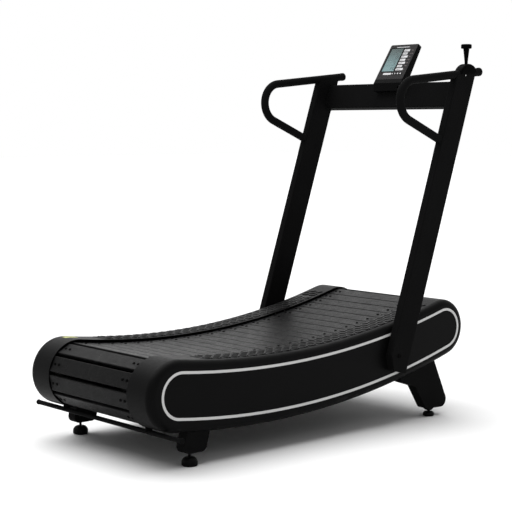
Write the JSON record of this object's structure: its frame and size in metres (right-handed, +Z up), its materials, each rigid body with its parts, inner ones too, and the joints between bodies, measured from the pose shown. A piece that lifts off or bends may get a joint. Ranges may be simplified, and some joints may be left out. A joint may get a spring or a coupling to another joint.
{
  "type": "curved manual treadmill",
  "caption": "Curved manual treadmill: slatted running belt on pulleys between two swept side casings, leaning uprights, looped handles, small console and brake lever.",
  "frame": {"origin": "on the floor, below the middle of the machine's outer box", "axes": "+X to the runner's right, +Y the way the runner faces, +Z up"},
  "size_m": [0.932, 1.76, 1.5968],
  "materials": {
    "casing": "satin moulded casing",
    "stripe": "light trim line",
    "foot_rail": "ribbed anti-slip tread",
    "frame_paint": "satin black powder coat",
    "slat_rubber": "grained running surface",
    "belt_rubber": "plain black",
    "zinc_steel": "zinc plated",
    "turned_steel": "turned and ground",
    "cast_alloy": "machined",
    "black_plastic": "fine grained",
    "lcd": "grey-green display window",
    "button": "keycap",
    "foot_rubber": "hard rubber",
    "nylon": "turned nylon"
  },
  "bodies": {
    "frame": {"axle_bearings": "turned_steel", "caliper_pin": "zinc_steel", "carrier_belt_left": "belt_rubber", "carrier_belt_right": "belt_rubber", "console_bracket": "frame_paint", "console_face": "black_plastic", "console_housing": "black_plastic", "cover_stripe_left": "stripe", "cover_stripe_right": "stripe", "cross_tubes": "frame_paint", "crossbar": "frame_paint", "foot_lock_nuts": "zinc_steel", "front_leg_left": "frame_paint", "front_leg_right": "frame_paint", "grip_pad_left": "foot_rail", "grip_pad_right": "foot_rail", "handle_caps": "black_plastic", "handle_left": "frame_paint", "handle_right": "frame_paint", "lcd_window": "lcd", "lever_housing": "black_plastic", "lever_pin": "zinc_steel", "lift_bar": "frame_paint", "lift_bar_caps": "black_plastic", "rear_leg_left": "frame_paint", "rear_leg_right": "frame_paint", "roller_studs": "zinc_steel", "side_cover_left": "casing", "side_cover_right": "casing", "side_plate_left": "frame_paint", "side_plate_right": "frame_paint", "slat_screws": "zinc_steel", "slats_front_turn": "slat_rubber", "slats_rear_turn": "slat_rubber", "slats_return_run": "slat_rubber", "slats_top_run": "slat_rubber", "support_rollers": "nylon", "upright_bolts": "zinc_steel", "upright_left": "frame_paint", "upright_right": "frame_paint", "upright_spacers": "zinc_steel", "wheel_pins": "zinc_steel"},
    "rear_roller": {"rear_axle": "turned_steel", "rear_pulleys": "cast_alloy"},
    "front_roller": {"front_axle": "turned_steel", "front_pulleys": "cast_alloy", "brake_disc": "cast_alloy"},
    "brake_lever": {"lever_arm": "frame_paint", "lever_knob": "black_plastic"},
    "magnet_arm": {"magnet_caliper": "frame_paint"},
    "button_1": {"console_button_1": "button"},
    "button_2": {"console_button_2": "button"},
    "button_3": {"console_button_3": "button"},
    "button_4": {"console_button_4": "button"},
    "wheel_left": {"transport_wheel_left": "foot_rubber"},
    "foot_rear_left": {"foot_rear_left": "foot_rubber"},
    "foot_front_left": {"foot_front_left": "foot_rubber"},
    "wheel_right": {"transport_wheel_right": "foot_rubber"},
    "foot_rear_right": {"foot_rear_right": "foot_rubber"},
    "foot_front_right": {"foot_front_right": "foot_rubber"}
  },
  "joints": [
    {"name": "front_roller_spin", "type": "hinge", "parent": "frame", "child": "front_roller", "pos_m": [0, 0.698, 0.376], "axis": [1, 0, 0], "continuous": true},
    {"name": "rear_roller_spin", "type": "hinge", "parent": "frame", "child": "rear_roller", "pos_m": [0, -0.753, 0.269], "axis": [1, 0, 0], "continuous": true},
    {"name": "brake_lever_swing", "type": "hinge", "parent": "frame", "child": "brake_lever", "pos_m": [0.409, 0.788, 1.485], "axis": [1, 0, 0], "range_deg": [-30, 30]},
    {"name": "magnet_arm_swing", "type": "hinge", "parent": "frame", "child": "magnet_arm", "pos_m": [0.264, 0.60403, 0.3418], "axis": [1, 0, 0], "range_deg": [-9.5, 9.5]},
    {"name": "button_1_press", "type": "slide", "parent": "frame", "child": "button_1", "axis": [0, 0.829, -0.5592], "range_m": [0, 0.0012], "stiffness_N_per_m": 500, "springref_m": -0.0005},
    {"name": "button_2_press", "type": "slide", "parent": "frame", "child": "button_2", "axis": [0, 0.829, -0.5592], "range_m": [0, 0.0012], "stiffness_N_per_m": 500, "springref_m": -0.0005},
    {"name": "button_3_press", "type": "slide", "parent": "frame", "child": "button_3", "axis": [0, 0.829, -0.5592], "range_m": [0, 0.0012], "stiffness_N_per_m": 500, "springref_m": -0.0005},
    {"name": "button_4_press", "type": "slide", "parent": "frame", "child": "button_4", "axis": [0, 0.829, -0.5592], "range_m": [0, 0.0012], "stiffness_N_per_m": 500, "springref_m": -0.0005},
    {"name": "wheel_left_spin", "type": "hinge", "parent": "frame", "child": "wheel_left", "pos_m": [-0.31, 0.688, 0.044], "axis": [1, 0, 0], "continuous": true},
    {"name": "foot_rear_left_turn", "type": "hinge", "parent": "frame", "child": "foot_rear_left", "pos_m": [-0.351, -0.669, 0], "axis": [0, 0, 1], "continuous": true},
    {"name": "foot_front_left_turn", "type": "hinge", "parent": "frame", "child": "foot_front_left", "pos_m": [-0.351, 0.641, 0], "axis": [0, 0, 1], "continuous": true},
    {"name": "wheel_right_spin", "type": "hinge", "parent": "frame", "child": "wheel_right", "pos_m": [0.31, 0.688, 0.044], "axis": [1, 0, 0], "continuous": true},
    {"name": "foot_rear_right_turn", "type": "hinge", "parent": "frame", "child": "foot_rear_right", "pos_m": [0.351, -0.669, 0], "axis": [0, 0, 1], "continuous": true},
    {"name": "foot_front_right_turn", "type": "hinge", "parent": "frame", "child": "foot_front_right", "pos_m": [0.351, 0.641, 0], "axis": [0, 0, 1], "continuous": true}
  ],
  "couplings": [
    {"joint": "rear_roller_spin", "follows": "front_roller_spin", "ratio": 0.90291},
    {"joint": "magnet_arm_swing", "follows": "brake_lever_swing", "ratio": 0.3}
  ]
}
